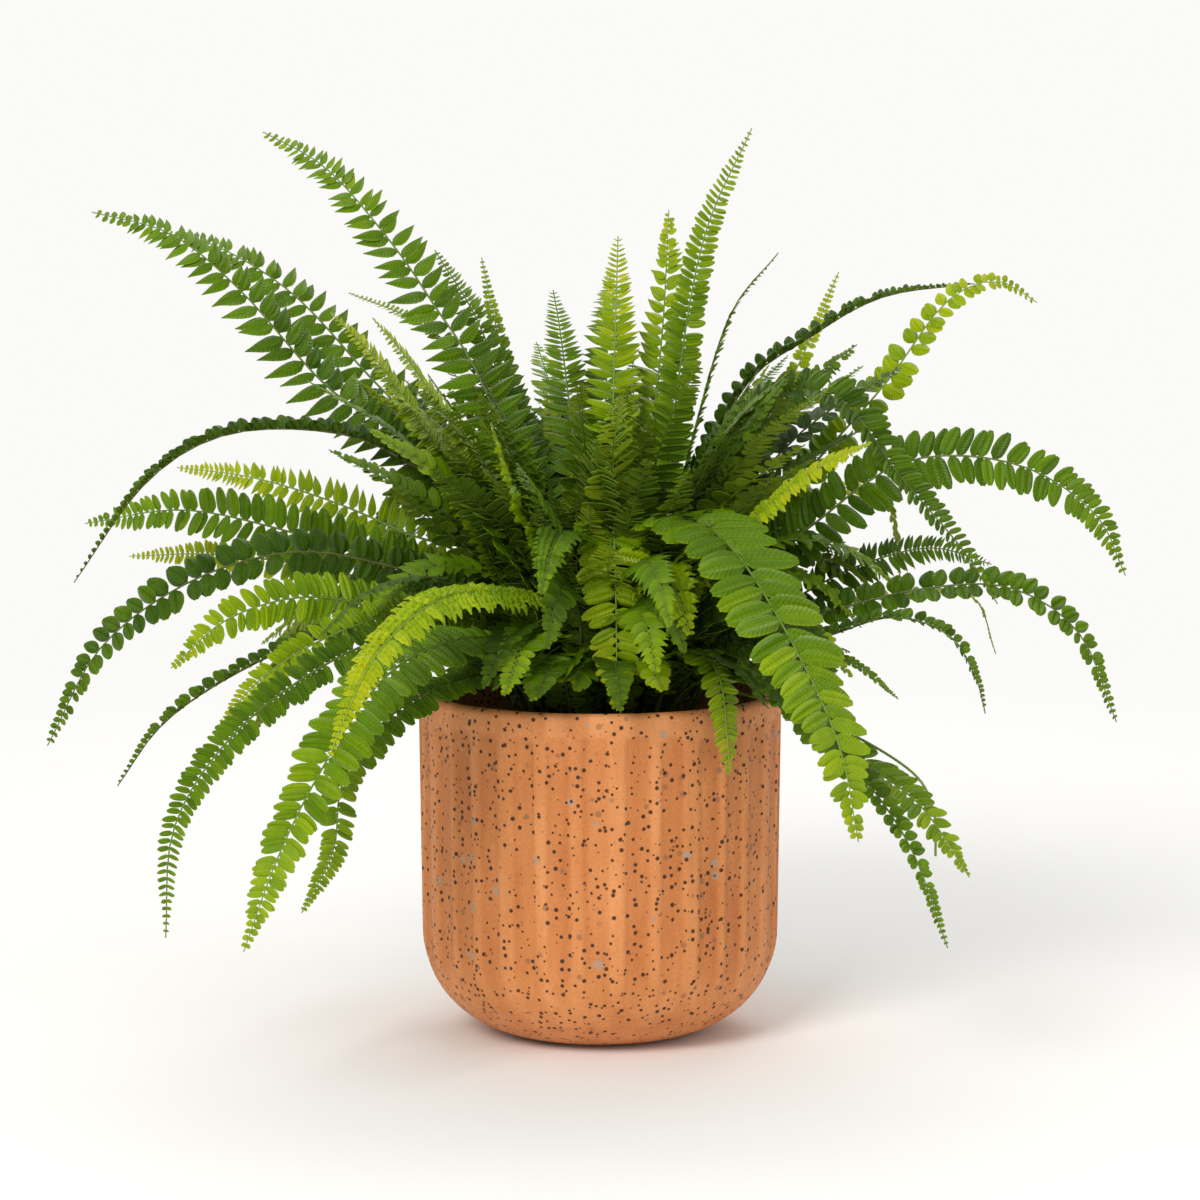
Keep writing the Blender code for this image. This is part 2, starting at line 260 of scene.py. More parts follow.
def stalkFinish():
    made = Finish("leafStalk", Roughness=leafLook["stalkGloss"])
    age = made.attribute("age")
    scurf = made.noise(made.add("TexCoord", out=3), leafLook["scurfScale"], 3.0)
    shade = age + (scurf - 0.5) * 0.2
    colour = made.add("ValToRGB", {"stops": leafLook["stalk"]}, {0: shade})
    flecks = made.band(scurf, 0.58, 0.7) * made.band(age, 0.0, 0.45, 0.8, 0.1)
    made.feed("Base Color", made.blend(flecks, colour, leafLook["scurf"]))
    made.bump(scurf, 0.4, 0.0003)
    return made.material


leafMaterials = [
    leafFinish("leafUpperFace", leafLook["upper"], leafLook["upperGloss"]),
    leafFinish("leafUnderFace", leafLook["under"], leafLook["underGloss"]),
    stalkFinish(),
]
upperFace, underFace, stalkFace = range(3)


# widths along the leaflet, then how far its tip sweeps forward and droops and how far it is
# crimped, all as shares of its length
leafletShapes = {
    "pointed": {
        "widths": [0.08, 0.38, 0.43, 0.38, 0.28, 0.14, 0.01],
        "sweep": 0.20, "droop": 0.26, "crimp": 0.0,
    },
    "oblong": {
        "widths": [0.09, 0.36, 0.41, 0.41, 0.39, 0.31, 0.12],
        "sweep": 0.07, "droop": 0.12, "crimp": 0.0,
    },
    "narrow": {
        "widths": [0.06, 0.21, 0.25, 0.24, 0.20, 0.12, 0.01],
        "sweep": 0.12, "droop": 0.14, "crimp": 0.0,
    },
    "round": {
        "widths": [0.12, 0.60, 0.78, 0.80, 0.72, 0.52, 0.18],
        "sweep": 0.06, "droop": 0.18, "crimp": 0.0,
    },
    "crimped": {
        "widths": [0.09, 0.42, 0.46, 0.44, 0.38, 0.24, 0.05],
        "sweep": 0.12, "droop": 0.30, "crimp": 0.06,
    },
}
leafletMesh = {
    "columns": 6, "fineRows": 4, "coarseRows": 2,
    "crown": 0.16,  # how high each half of the blade swells, as a share of its width
    "curl": 0.6,  # how far its edges turn down again
    "thickness": 0.02,
    "sharpAngle": 50,
}


def makeLeaflet(kind, side, fine):
    shape = leafletShapes[kind]
    columns = leafletMesh["columns"]
    rows = leafletMesh["fineRows" if fine else "coarseRows"]
    bpy.ops.mesh.primitive_grid_add(
        x_subdivisions=columns, y_subdivisions=rows, size=1, location=(0, 0, 0))
    leaflet = bpy.context.object
    leaflet.name = f"leaflet_{kind}_{side}_{fine}"
    bpy.ops.object.mode_set(mode="EDIT")
    for i, width in enumerate(shape["widths"]):
        share = i / columns
        x = share - 0.5
        editPick(lambda co: abs(co.x - x) < 0.01)
        bpy.ops.transform.resize(value=(1, width, 1), center_override=(x, 0, 0))
        wave = shape["crimp"] * (1 if i % 2 else -1)
        sweep = side * shape["sweep"] * share ** 2
        bpy.ops.transform.translate(value=(0, sweep, wave - shape["droop"] * share ** 2))
    # the blade is crowned on both sides of its midrib and turns down at the edges
    grid = bmesh.from_edit_mesh(leaflet.data)
    for point in grid.verts:
        i = round((point.co.x + 0.5) * columns)
        middle = side * shape["sweep"] * (i / columns) ** 2
        width = shape["widths"][i]
        out = min(abs(point.co.y - middle) / max(width / 2, 1e-6), 1)
        crown = math.sin(math.pi * out) - leafletMesh["curl"] * out ** 2
        point.co.z += leafletMesh["crown"] * width * crown
        point.co.x += 0.5
    bmesh.update_edit_mesh(leaflet.data)
    bpy.ops.mesh.select_all(action="SELECT")
    bpy.ops.mesh.normals_make_consistent(inside=False)
    bpy.ops.object.mode_set(mode="OBJECT")
    for material in leafMaterials:
        leaflet.data.materials.append(material)
    applyModifier(
        leaflet, "SOLIDIFY", thickness=leafletMesh["thickness"], offset=0, material_offset=1)
    pickOnly(leaflet)
    bpy.ops.object.shade_smooth_by_angle(angle=math.radians(leafletMesh["sharpAngle"]))
    for value in ("age", "tone"):
        leaflet.data.attributes.new(value, "FLOAT", "POINT")
    faces = leaflet.data.polygons
    up = sum(face.normal.z * face.area for face in faces if face.material_index == upperFace)
    if up < 0:  # the darker upper face has to look up
        for face in faces:
            face.material_index = underFace - min(face.material_index, underFace)
    leaflet.hide_render = leaflet.hide_viewport = True
    return leaflet


leafletKinds = {
    (kind, side, fine): makeLeaflet(kind, side, fine)
    for kind in leafletShapes for side in (1, -1) for fine in (True, False)
}
print("leaflets modelled:", len(leafletKinds))


crownShape = {
    "radius": 54, "foot": 152.3, "rise": 12,
    "sunk": 2,  # how far a stalk's foot goes in
    "trim": 0.5,
}


def crownTop(radius):
    dome = math.sqrt(max(1 - (radius / crownShape["radius"]) ** 2, 0))
    return crownShape["foot"] + crownShape["rise"] * dome


def through(points, count, steps=24):
    # evenly spaced points on a smooth curve through the given ones
    points = [Vector(p) for p in points]
    padded = [2 * points[0] - points[1]] + points + [2 * points[-1] - points[-2]]
    fine = []
    for a, b, c, d in zip(padded, padded[1:], padded[2:], padded[3:]):
        for i in range(steps):
            t = i / steps
            square = (2 * a - 5 * b + 4 * c - d) * t * t
            cube = (3 * b - a - 3 * c + d) * t ** 3
            fine.append(0.5 * (2 * b + (c - a) * t + square + cube))
    fine.append(points[-1])
    lengths = [0.0]
    for a, b in zip(fine, fine[1:]):
        lengths.append(lengths[-1] + (b - a).length)
    even, at = [], 0
    for i in range(count + 1):
        target = lengths[-1] * i / count
        while at < len(fine) - 2 and lengths[at + 1] < target:
            at += 1
        share = (target - lengths[at]) / max(lengths[at + 1] - lengths[at], 1e-9)
        even.append(fine[at].lerp(fine[at + 1], share))
    return even, lengths[-1]


def archLine(azimuth, ring, arch, bend, count):
    profile = [(ring, crownTop(ring) - crownShape["sunk"])] + list(arch)
    line = []
    for i, (reach, height) in enumerate(profile):
        angle = math.radians(azimuth + bend * (i / (len(profile) - 1)) ** 2)
        out = reach * mm
        line.append((out * math.cos(angle), out * math.sin(angle), height * mm))
    return through(line, count)


def frondAxes(line, i, azimuth, roll):
    # along the midrib, across the blade, and out of its upper face
    along = (line[min(i + 1, len(line) - 1)] - line[max(i - 1, 0)]).normalized()
    flat = Vector((-math.sin(math.radians(azimuth)), math.cos(math.radians(azimuth)), 0))
    across = (flat - flat.dot(along) * along).normalized()
    face = along.cross(across)
    turn = math.radians(roll) * (-1 if flat.y > 0 else 1)
    rolled = across * math.cos(turn) - face * math.sin(turn)
    return along, rolled, face * math.cos(turn) + across * math.sin(turn)


frondHabit = {
    "stations": 90,
    "stalkRadius": 0.95,  # mm at the foot
    "tipRadius": 0.30,
    "stalkSteps": {True: 3, False: 6},  # stations per ring of a fine or a coarse stalk
    "bare": {True: 0.16, False: 0.12},  # share of the stalk below the first leaflet
    "fineUpTo": 0.8,  # the tiny leaflets past this share of the blade have fewer faces
    "roundPast": 0.93,  # the last leaflets are small and round
    "roundShrink": 0.8,
    "end": 0.995,
    "pitch": 0.92,  # leaflet spacing as a share of leaflet width
    "leastPitch": 0.7,  # mm
    "tilt": 14,  # how far leaflets overlap like shingles, in degrees
    "lean": 84,  # angle to the midrib at the foot, in degrees
    "leanFall": 16,
    "jitter": 7,
    "tiltJitter": 9,
    "youngTip": 0.34,  # how much younger the tip is than the foot
}
leafletLengths = {"foot": 0.6, "fullAt": 0.3, "tip": 0.14, "fall": 2.5}


def lengthAt(share):
    # leaflet length along the blade: short at the foot, full in the middle, tiny at the tip
    foot, fullAt, tip = (leafletLengths[key] for key in ("foot", "fullAt", "tip"))
    if share < fullAt:
        return foot + (1 - foot) * smoothStep(share / fullAt)
    fallen = ((share - fullAt) / (1 - fullAt)) ** leafletLengths["fall"]
    return max(1 - fallen, 0) * (1 - tip) + tip


def makeStalk(name, line, age, radii, fine=True):
    curve = bpy.data.curves.new(name, "CURVE")
    curve.dimensions = "3D"
    curve.bevel_depth = 1.0
    curve.bevel_resolution = 1 if fine else 0
    curve.use_fill_caps = True
    spline = curve.splines.new("POLY")
    spline.points.add(len(line) - 1)
    for i, (knot, point) in enumerate(zip(spline.points, line)):
        share = i / (len(line) - 1)
        knot.co = (*point, 1)
        knot.radius = (radii[0] + (radii[1] - radii[0]) * share) * mm
    stalk = bpy.data.objects.new(name, curve)
    bpy.context.collection.objects.link(stalk)
    pickOnly(stalk)
    bpy.ops.object.convert(target="MESH")
    stalk = bpy.context.object
    for material in leafMaterials:
        stalk.data.materials.append(material)
    for face in stalk.data.polygons:
        face.material_index = stalkFace
    smoothFaces(stalk)
    count = len(stalk.data.vertices)
    ages = [min(max(0.1 + age * i / count * 1.3, 0), 1) for i in range(count)]
    stalk.data.attributes.new("age", "FLOAT", "POINT").data.foreach_set("value", ages)
    stalk.data.attributes.new("tone", "FLOAT", "POINT")
    if not stalk.data.uv_layers:
        stalk.data.uv_layers.new(name="UVMap")
    return stalk


def jittered(centre, spread):
    return math.radians(centre + dice.uniform(-spread, spread))


def growFrond(name, spec, fine=True):
    azimuth, ring, arch, width, roll, bend, kind, age, fold = spec
    habit = frondHabit
    count = habit["stations"]
    line, reach = archLine(azimuth, ring, arch, bend, count)
    thin = min(1.0, 0.55 + width / 60)
    radii = (habit["stalkRadius"] * thin, habit["tipRadius"])
    parts = [makeStalk(name, line[::habit["stalkSteps"][fine]], age, radii, fine)]
    bare = share = habit["bare"][fine]
    side = 1
    while share < habit["end"]:
        blade = (share - bare) / (1 - bare)
        length = width / 2 * mm * lengthAt(blade) * dice.uniform(0.9, 1.08)
        sort = "round" if blade > habit["roundPast"] and kind != "narrow" else kind
        if sort != kind:
            length *= habit["roundShrink"]
        i = min(int(share * count), count)
        along, across, face = frondAxes(line, i, azimuth, roll)
        lean = jittered(habit["lean"] - habit["leanFall"] * blade, habit["jitter"])
        lift = jittered(fold, habit["jitter"])
        outward = across * side * math.cos(lift) + face * math.sin(lift)
        x = (along * math.cos(lean) + outward * math.sin(lean)).normalized()
        up = face * math.cos(lift) - across * side * math.sin(lift)
        up = (up - up.dot(x) * x).normalized()
        tilt = jittered(habit["tilt"] * side, habit["tiltJitter"])
        y = up.cross(x)
        y, up = y * math.cos(tilt) + up * math.sin(tilt), up * math.cos(tilt) - y * math.sin(tilt)
        fat = dice.uniform(0.92, 1.1)
        columns = [x * length, y * length * fat, up * length * dice.uniform(0.6, 1.3)]
        rows = [[column[row] for column in columns] + [line[i][row]] for row in range(3)]
        data = leafletKinds[(sort, -side, fine and blade < habit["fineUpTo"])].data.copy()
        data.transform(Matrix(rows + [[0, 0, 0, 1]]))
        size = len(data.vertices)
        young = age + habit["youngTip"] * blade ** 1.8 + dice.uniform(-0.05, 0.05)
        data.attributes["age"].data.foreach_set("value", [min(max(young, 0), 1)] * size)
        data.attributes["tone"].data.foreach_set("value", [dice.uniform(-0.5, 0.5)] * size)
        leaflet = bpy.data.objects.new("leaflet", data)
        bpy.context.collection.objects.link(leaflet)
        parts.append(leaflet)
        broad = max(leafletShapes[sort]["widths"]) * length
        share += max(broad * habit["pitch"] / 2, habit["leastPitch"] * mm) / reach
        side = -side
    return joined(name, parts)


# node: azimuth, ring of its foot, (reach, height) in mm that it arches through,
#       width, roll, bend, leaflet, age (0 old, 1 young), fold of the leaflets above the midrib
inner, middle, outer = 14, 29, 44
fronds = {
    "frond_left_tall": (
        150, inner, [(60, 305), (100, 365), (130, 400), (163, 430), (200, 447)],
        40, 45, 0, "pointed", 0.34, 5),
    "frond_left_high": (
        172, inner, [(85, 280), (138, 322), (180, 368), (216, 397), (257, 408)],
        42, 50, 0, "pointed", 0.26, 0),
    "frond_left_high_back": (
        158, middle, [(86, 280), (131, 330), (170, 367), (213, 390), (245, 396)],
        40, 45, 0, "pointed", 0.30, 0),
    "frond_left_young_1": (
        205, middle, [(70, 268), (98, 310), (122, 343), (143, 363)],
        30, 45, 0, "narrow", 0.62, 5),
    "frond_left_young_2": (
        214, inner, [(58, 269), (87, 308), (112, 341), (131, 361)],
        30, 45, 0, "narrow", 0.58, 5),
    "frond_left_wiry": (
        140, middle, [(48, 280), (88, 330), (123, 351), (170, 364)],
        14, 30, 0, "round", 0.45, 20),
    "frond_left_arch": (
        187, middle, [(60, 256), (100, 289), (135, 302), (185, 301), (224, 278), (260, 229)],
        18, 5, 0, "round", 0.06, 50),
    "frond_left_pale": (
        163, middle, [(62, 229), (105, 248), (142, 262), (185, 273), (226, 277)],
        28, 75, 0, "pointed", 0.62, 0),
    "frond_left_broad": (
        178, outer, [(65, 214), (115, 237), (165, 253), (210, 261), (257, 254)],
        34, 75, 0, "oblong", 0.30, 0),
    "frond_left_pale_low": (
        168, outer, [(67, 205), (113, 222), (155, 231), (203, 235), (245, 233)],
        22, 75, 0, "oblong", 0.66, 0),
    "frond_left_long": (
        192, outer, [(65, 218), (110, 237), (155, 244), (204, 231), (248, 200), (275, 152)],
        26, 60, 0, "round", 0.10, 15),
    "frond_left_mid": (
        199, outer, [(63, 203), (104, 214), (150, 224), (190, 215), (219, 192)],
        30, 65, 0, "oblong", 0.50, 0),
    "frond_left_thin": (
        206, outer, [(66, 191), (114, 206), (155, 205), (197, 190), (232, 169), (255, 141)],
        16, 10, 0, "round", 0.14, 45),
    "frond_left_pale_front": (
        213, middle, [(65, 208), (116, 217), (161, 207), (194, 190), (216, 169)],
        22, 55, 0, "oblong", 0.58, 5),
    "frond_left_drooping": (
        220, outer, [(70, 196), (131, 208), (184, 193), (229, 166), (258, 129), (263, 79)],
        21, 45, 0, "oblong", 0.32, 10),
    "frond_front_left_large": (
        234, middle, [(80, 203), (134, 207), (178, 193), (220, 157), (250, 122), (274, 83)],
        36, 22, 0, "oblong", 0.44, 5),
    "frond_front_left_bright": (
        241, middle, [(45, 215), (96, 230), (159, 232), (210, 214), (238, 188), (252, 171)],
        26, 20, 0, "crimped", 0.66, 8),
    "frond_front_left_small": (
        228, outer, [(66, 184), (114, 185), (155, 171), (181, 146), (187, 115), (208, 88)],
        26, 20, 0, "oblong", 0.42, 5),
    "frond_front_left_rim": (
        252, outer, [(56, 184), (74, 198), (92, 194), (104, 180)],
        30, 0, 0, "oblong", 0.36, 5),
    "frond_centre_feather": (
        104, inner, [(32, 240), (60, 300), (84, 345), (100, 366)],
        34, 0, 0, "narrow", 0.30, 0),
    "frond_centre_left_small": (
        118, middle, [(43, 252), (90, 308), (115, 348), (131, 382)],
        16, 20, 0, "round", 0.42, 5),
    "frond_centre_left": (
        128, inner, [(33, 243), (67, 296), (101, 350), (139, 386)],
        28, 35, 0, "pointed", 0.26, 0),
    "frond_centre_pale": (
        82, inner, [(30, 240), (45, 300), (56, 350), (66, 395)],
        34, 0, 0, "narrow", 0.60, 0),
    "frond_centre_tall": (
        64, inner, [(40, 230), (60, 295), (73, 350), (80, 408)],
        38, 0, 0, "pointed", 0.56, 0),
    "frond_centre_tallest": (
        50, middle, [(50, 240), (60, 315), (82, 394), (121, 449)],
        22, 55, 0, "oblong", 0.50, 5),
    "frond_right_spiky": (
        30, inner, [(38, 240), (56, 303), (76, 357), (104, 387)],
        26, -30, 0, "narrow", 0.30, 0),
    "frond_front_centre": (
        276, middle, [(38, 240), (56, 262), (68, 248), (75, 215), (77, 172)],
        42, 0, 0, "oblong", 0.58, 5),
    "frond_front_upright": (
        238, inner, [(28, 205), (50, 235), (78, 275), (98, 312)],
        44, 50, 0, "crimped", 0.48, 10),
    "frond_front_curled": (
        262, inner, [(30, 225), (42, 262), (52, 300)],
        34, 0, 0, "crimped", 0.56, 15),
    "frond_front_dark": (
        292, inner, [(26, 215), (38, 255), (54, 288)],
        32, 0, 0, "pointed", 0.30, 0),
    "frond_right_arch": (
        18, middle, [(50, 262), (75, 320), (110, 345), (150, 365), (200, 371)],
        17, 5, 0, "round", 0.08, 50),
    "frond_right_bright": (
        8, middle, [(60, 226), (96, 270), (143, 322), (174, 363), (200, 374), (221, 363)],
        24, 55, 0, "round", 0.60, 5),
    "frond_right_wiry": (
        40, middle, [(60, 240), (108, 292), (140, 339), (161, 375)],
        15, 40, 0, "round", 0.60, 5),
    "frond_right_long": (
        350, outer, [(60, 218), (105, 255), (152, 288), (205, 288), (244, 265), (260, 234)],
        35, 65, 0, "oblong", 0.28, 0),
    "frond_right_dark": (
        338, middle, [(40, 248), (78, 312), (122, 322), (157, 283), (187, 251), (206, 224)],
        28, 30, 0, "oblong", 0.18, 25),
    "frond_right_crimped": (
        318, middle, [(60, 225), (98, 262), (138, 290), (172, 305)],
        22, 50, 0, "crimped", 0.72, 10),
    "frond_right_hanging": (
        26, outer, [(80, 232), (130, 265), (160, 262), (170, 240), (172, 213)],
        27, 15, 0, "oblong", 0.84, 5),
    "frond_right_narrow": (
        356, outer, [(65, 198), (100, 220), (129, 235), (164, 244), (194, 236)],
        26, 55, 0, "narrow", 0.20, 0),
    "frond_right_low": (
        345, outer, [(65, 196), (112, 213), (162, 227), (206, 229), (240, 208), (259, 165)],
        22, 45, 0, "round", 0.24, 15),
    "frond_right_hanging_low": (
        14, outer, [(66, 196), (110, 206), (165, 216), (196, 212), (208, 183)],
        20, 10, 0, "oblong", 0.72, 5),
    "frond_right_thin": (
        335, outer, [(65, 192), (118, 204), (155, 216), (185, 209), (199, 189), (204, 172)],
        16, 15, 0, "round", 0.20, 30),
    "frond_right_tiny": (
        327, outer, [(70, 190), (110, 200), (145, 195), (170, 180)],
        13, 15, 0, "round", 0.26, 20),
    "frond_front_right_large": (
        300, middle, [(42, 240), (75, 264), (123, 255), (176, 217), (218, 173), (235, 130)],
        56, 0, 0, "oblong", 0.46, 3),
    "frond_front_right_low": (
        320, outer, [(66, 184), (110, 188), (151, 158), (196, 135), (226, 103)],
        34, 12, 0, "oblong", 0.46, 3),
    "frond_front_right_dark": (
        312, outer, [(70, 182), (120, 186), (172, 158), (214, 122), (240, 76)],
        17, 15, 0, "round", 0.26, 20),
    "frond_front_right_rim": (
        306, outer, [(60, 190), (80, 200), (98, 188), (104, 160), (106, 142)],
        24, 0, 0, "oblong", 0.56, 0),
    "frond_back_tall": (
        88, middle, [(45, 240), (80, 300), (118, 345), (160, 372)],
        36, 0, 0, "pointed", 0.34, 0),
    "frond_back_left_arch": (
        122, outer, [(70, 225), (120, 262), (170, 266), (215, 235), (240, 185)],
        36, 0, 0, "oblong", 0.30, 0),
    "frond_back_left_low": (
        142, outer, [(66, 196), (115, 215), (165, 208), (210, 175), (235, 125)],
        34, 0, 0, "oblong", 0.36, 0),
    "frond_back_left_rim": (
        112, outer, [(64, 186), (100, 192), (138, 170), (168, 130), (182, 85)],
        32, 0, 0, "oblong", 0.44, 0),
    "frond_back_middle_arch": (
        98, outer, [(66, 212), (112, 240), (160, 240), (205, 208), (230, 160)],
        38, 0, 0, "pointed", 0.30, 0),
    "frond_back_middle_low": (
        84, outer, [(64, 188), (105, 198), (150, 180), (188, 140), (205, 92)],
        34, 0, 0, "oblong", 0.40, 0),
    "frond_back_right_arch": (
        70, outer, [(70, 222), (118, 256), (166, 258), (208, 226), (234, 176)],
        36, 0, 0, "oblong", 0.32, 0),
    "frond_back_right_low": (
        54, outer, [(66, 196), (114, 210), (162, 196), (204, 158), (226, 110)],
        34, 0, 0, "pointed", 0.38, 0),
}
for node, spec in fronds.items():
    hand(growFrond("leafy_" + node, spec), "leaf", node)
print("fronds grown:", len(fronds))


# younger shoots between the long fronds: each bunch takes the sorts in turn
thicket = {
    "bunches": 20, "perBunch": 10, "seed": 21,
    "kinds": ["oblong", "pointed", "oblong", "round", "narrow", "crimped"],
    "ages": [0.05, 0.12, 0.2, 0.3, 0.4, 0.5],
    "sorts": ["heart", "arching", "low", "heart", "tall"],
}
stalkFoot = 175


def rising(top, share):
    return stalkFoot + (top - stalkFoot) * share


def thicketSpec(turn, sort):
    kind = dice.choice(thicket["kinds"])
    age = dice.choice(thicket["ages"])
    azimuth = turn + dice.uniform(-12, 12)
    roll = dice.uniform(-35, 45)
    far = dice.uniform(0.8, 1.15)
    if sort == "heart":  # upright, in the heart of the plant
        top = dice.uniform(255, 335)
        arch = [(34, 215), (62, rising(top, 0.7)), (96, top)]
        ring, width, fold = (6, 34), (24, 38), (-5, 20)
    elif sort == "tall":  # tall and leaning out
        top = dice.uniform(285, 345)
        arch = [(44, 235), (86, rising(top, 0.78)), (132, top)]
        ring, width, fold = (12, 36), (24, 36), (-5, 20)
    elif sort == "arching":  # arching half way up
        top = dice.uniform(205, 262)
        arch = [(58, top - 18), (92, top), (124, top - 4), (150, top - 24)]
        ring, width, fold = (20, 44), (22, 34), (-5, 25)
    else:  # low over the rim, hiding the soil
        arch = [(50, 184), (76, 196), (98, 193), (116, dice.uniform(176, 190))]
        ring, width, fold = (30, 46), (20, 30), (0, 25)
    arch = [(reach * far, height) for reach, height in arch]
    return (azimuth, dice.uniform(*ring), arch, dice.uniform(*width), roll, 0, kind, age,
            dice.uniform(*fold))


dice = random.Random(thicket["seed"])
for bunch in range(thicket["bunches"]):
    grown = []
    for i in range(thicket["perBunch"]):
        turn = 360 * (bunch + i / thicket["perBunch"]) / thicket["bunches"]
        spec = thicketSpec(turn, thicket["sorts"][i % len(thicket["sorts"])])
        grown.append(growFrond(f"shoot_{bunch}_{i}", spec, fine=False))
    hand(joined(f"young_fronds_{bunch + 1:02d}", grown), "leaf")
print("thicket grown:", thicket["bunches"] * thicket["perBunch"])


pot = {
    "height": 172, "rimRadius": 90.5, "bodyRadius": 89, "bottomReach": 54, "bottomRise": 52,
    "wall": 7, "floor": 9, "foot": 6,
    "bottomSteps": 22, "wallSteps": 43, "lipSteps": 12, "insideSteps": 8,
    "wallTop": 167, "insideTop": 168, "insideDrop": 14, "taper": 0.3,
}
flute = {
    "count": 30, "steps": 14, "depth": 1.35, "top": 161.5, "foot": 20, "footRun": 34,
    "topRun": 2.6, "scallop": 3.2, "shoulder": 0.34, "ends": 168, "skin": 3, "seed": 4,
    # each flute is cut by hand, so these are drawn for it
    "ranges": {
        "shift": (-0.10, 0.10), "width": (0.36, 0.43), "depth": (0.75, 1.15),
        "top": (-1.6, 1.2), "sway": (-0.05, 0.05),
    },
}


def ellipsePoints(centre, radii, start, end, count):
    angles = [math.radians(start + (end - start) * i / count) for i in range(count + 1)]
    return [
        (centre[0] + radii[0] * math.cos(a), centre[1] + radii[1] * math.sin(a)) for a in angles]


def potProfile():
    # from the middle of the foot up the outside, over the lip and down the inside to the floor
    reach, rise, thick, low = (pot[key] for key in ("bottomReach", "bottomRise", "wall", "floor"))
    corner = (pot["bodyRadius"] - reach, rise)
    bottom = ellipsePoints(corner, (reach, rise), -90, 0, pot["bottomSteps"])
    wall = []
    for i in range(1, pot["wallSteps"] + 1):
        height = rise + (pot["wallTop"] - rise) * i / pot["wallSteps"]
        grow = (height - rise) / (pot["height"] - rise)
        wall.append((pot["bodyRadius"] + (pot["rimRadius"] - pot["bodyRadius"]) * grow, height))
    half = thick / 2
    lipCentre = (pot["rimRadius"] - half, pot["height"] - half)
    lip = ellipsePoints(lipCentre, (half, half), 0, 180, pot["lipSteps"])
    steps = pot["insideSteps"]
    inside = [
        (pot["rimRadius"] - thick - pot["taper"] * i / steps,
         pot["insideTop"] - pot["insideDrop"] * i)
        for i in range(1, steps + 1)]
    floorCurve = ellipsePoints(corner, (reach - thick, rise - low), 0, -90, steps)
    return [(pot["foot"], 0)] + bottom + wall + lip + inside + floorCurve[1:] + [(pot["foot"], low)]


def makePot():
    profile = potProfile()
    radius, height = profile[0]
    bpy.ops.mesh.primitive_circle_add(
        vertices=flute["count"] * flute["steps"], radius=radius * mm, location=(0, 0, 0))
    body = bpy.context.object
    bpy.ops.object.mode_set(mode="EDIT")
    for nextRadius, nextHeight in profile[1:]:
        extrudeUp(nextHeight - height, nextRadius / radius, nextHeight)
        radius, height = nextRadius, nextHeight
    fillEnds(lambda co: co.z < 1e-7 and math.hypot(co.x, co.y) < (pot["foot"] + 0.01) * mm)
    bpy.ops.mesh.remove_doubles(threshold=1e-6)
    bpy.ops.mesh.normals_make_consistent(inside=False)
    bpy.ops.object.mode_set(mode="OBJECT")
    return body


def outerSkin(height):
    # the radius above which a point is on the outside of the pot
    level = min(max((pot["bottomRise"] - height) / pot["bottomRise"], 0), 1)
    curve = 1 - math.sqrt(max(1 - level ** 2, 0))
    return pot["bodyRadius"] - pot["bottomReach"] * curve - flute["skin"]


def pressFlutes(body):
    cuts = random.Random(flute["seed"])
    flutes = [
        {key: cuts.uniform(*ends) for key, ends in flute["ranges"].items()}
        for _ in range(flute["count"])]
    grooves = body.data.attributes.new("groove", "FLOAT", "POINT")
    values = []
    for point in body.data.vertices:
        radius = math.hypot(point.co.x, point.co.y) / mm
        height = point.co.z / mm
        if radius < outerSkin(height) or height > flute["ends"]:
            values.append(0.0)
            continue
        turn = math.atan2(point.co.y, point.co.x) / math.tau * flute["count"] % flute["count"]
        cut = flutes[int(turn)]
        off = turn % 1 - 0.5 - cut["shift"] - cut["sway"] * (height - 90) / 90
        across = abs(off) / cut["width"]
        top = flute["top"] + cut["top"] - flute["scallop"] * min(across, 1) ** 2
        amount = (smoothStep((1 - across) / flute["shoulder"])
                  * smoothStep((top - height) / flute["topRun"])
                  * smoothStep((height - flute["foot"]) / flute["footRun"]))
        wobble = 1 + 0.12 * math.sin(height / 17 + turn * 2.1)
        press = flute["depth"] * cut["depth"] * amount * wobble
        values.append(amount)
        point.co.x *= 1 - press / radius
        point.co.y *= 1 - press / radius
    grooves.data.foreach_set("value", values)
    smoothFaces(body)


potLook = {
    "pale": (0.780, 0.330, 0.125), "clay": (0.620, 0.230, 0.070), "deep": (0.470, 0.140, 0.034),
    "pit": (0.020, 0.010, 0.006), "smudge": (0.170, 0.100, 0.060),
    "stone": (0.360, 0.290, 0.220), "grit": (0.72, 0.62, 0.52),
    # cells per metre, smallest and largest radius in mm, softness of the edge
    "pits": (285.0, 0.55, 1.30, 0.35), "smudges": (120.0, 0.6, 2.3, 0.55),
    "stones": (66.0, 1.2, 3.0, 0.25),
    "streakScale": 95.0, "streakStretch": 0.16, "cloudScale": 28.0, "grainScale": 950.0,
}


def spots(made, place, scale, small, large, soft):
    # round specks of differing size, one in most cells of the pattern
    ball = {"Vector": place, "Scale": scale}
    near = made.add("TexVoronoi", {}, ball)
    mark = made.add("SeparateColor", {}, {0: made.add("TexVoronoi", {}, ball, 1)}, 0)
    edge = made.band(mark, 0.0, 1.0, small * scale * mm, large * scale * mm)
    return made.band(near / edge, 1 - soft, 1.0, 1.0, 0.0), mark


